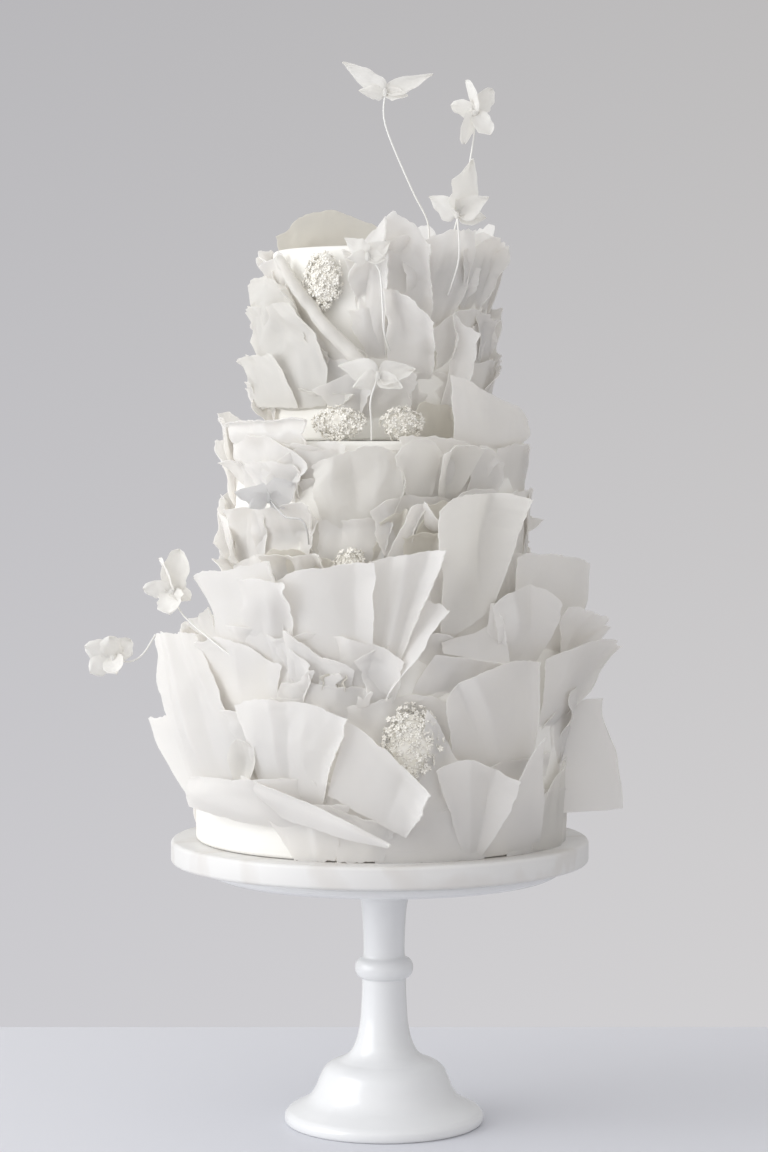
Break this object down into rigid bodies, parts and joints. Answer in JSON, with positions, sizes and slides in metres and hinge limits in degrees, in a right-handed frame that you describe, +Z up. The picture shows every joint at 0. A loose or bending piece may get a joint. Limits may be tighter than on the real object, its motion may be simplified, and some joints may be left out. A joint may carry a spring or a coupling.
{
  "type": "tiered wedding cake",
  "caption": "Tall tiered cake wrapped in standing torn wafer paper sheets, with dried flowers and wired paper butterflies, on a round board and a white pedestal stand.",
  "frame": {"origin": "centre of the flat underside of the stand's foot", "axes": "+Z up along the stand's axis, front of the cake faces -Y, +X to the viewer's right"},
  "size_m": [0.3863, 0.3022, 0.7498],
  "materials": {
    "white_glaze": "gloss",
    "washed_board": "satin",
    "icing": "matt buttercream",
    "wafer_paper": "matt",
    "dried_flowers": "matt, dry",
    "wing_paper": "matt"
  },
  "bodies": {
    "root": {"stand": "white_glaze", "board": "washed_board", "tier_bottom": "icing", "tier_middle": "icing", "tier_top": "icing", "sheet_tall_left": "wafer_paper", "sheet_tall_mid_left": "wafer_paper", "sheet_tall_centre": "wafer_paper", "sheet_cone_centre": "wafer_paper", "sheet_rolled_right": "wafer_paper", "sheet_flag_right": "wafer_paper", "sheet_cup_right": "wafer_paper", "sheet_lip_right": "wafer_paper", "sheet_wing_right": "wafer_paper", "sheet_big_cup": "wafer_paper", "sheet_scoop_front": "wafer_paper", "sheet_panel_front": "wafer_paper", "sheet_edge_right": "wafer_paper", "sheet_skirt_right": "wafer_paper", "sheet_tall_far_left": "wafer_paper", "sheet_broad_far_left": "wafer_paper", "sheet_swoop_left": "wafer_paper", "sheet_tongue": "wafer_paper", "sheet_folded_left": "wafer_paper", "sheet_kite_front": "wafer_paper", "sheet_small_diagonal": "wafer_paper", "sheet_ledge_left": "wafer_paper", "sheet_white_left": "wafer_paper", "sheet_pale_low_left": "wafer_paper", "sheet_ruffle_left": "wafer_paper", "sheet_big_centre": "wafer_paper", "sheet_grey_cup": "wafer_paper", "sheet_folded_cup": "wafer_paper", "sheet_pale_right": "wafer_paper", "sheet_ledge_right": "wafer_paper", "sheet_ruffle_right": "wafer_paper", "sheet_band_centre": "wafer_paper", "sheet_top_left_big": "wafer_paper", "sheet_top_roll": "wafer_paper", "sheet_top_low_fold": "wafer_paper", "sheet_top_tall_left": "wafer_paper", "sheet_top_tall_centre": "wafer_paper", "sheet_top_low_centre": "wafer_paper", "sheet_top_fin_right": "wafer_paper", "sheet_top_far_right": "wafer_paper", "sheet_top_ribbon": "wafer_paper", "flowers_top": "dried_flowers", "flowers_ledge_left": "dried_flowers", "flowers_ledge_mid": "dried_flowers", "flowers_middle": "dried_flowers", "flowers_pocket": "dried_flowers", "butterfly_crown": "wing_paper", "butterfly_crown_right": "wing_paper", "butterfly_top_front": "wing_paper", "butterfly_low_top": "wing_paper", "butterfly_middle": "wing_paper", "blossom_crown": "wing_paper", "blossom_left": "wing_paper", "blossom_far_left": "wing_paper"}
  },
  "joints": []
}
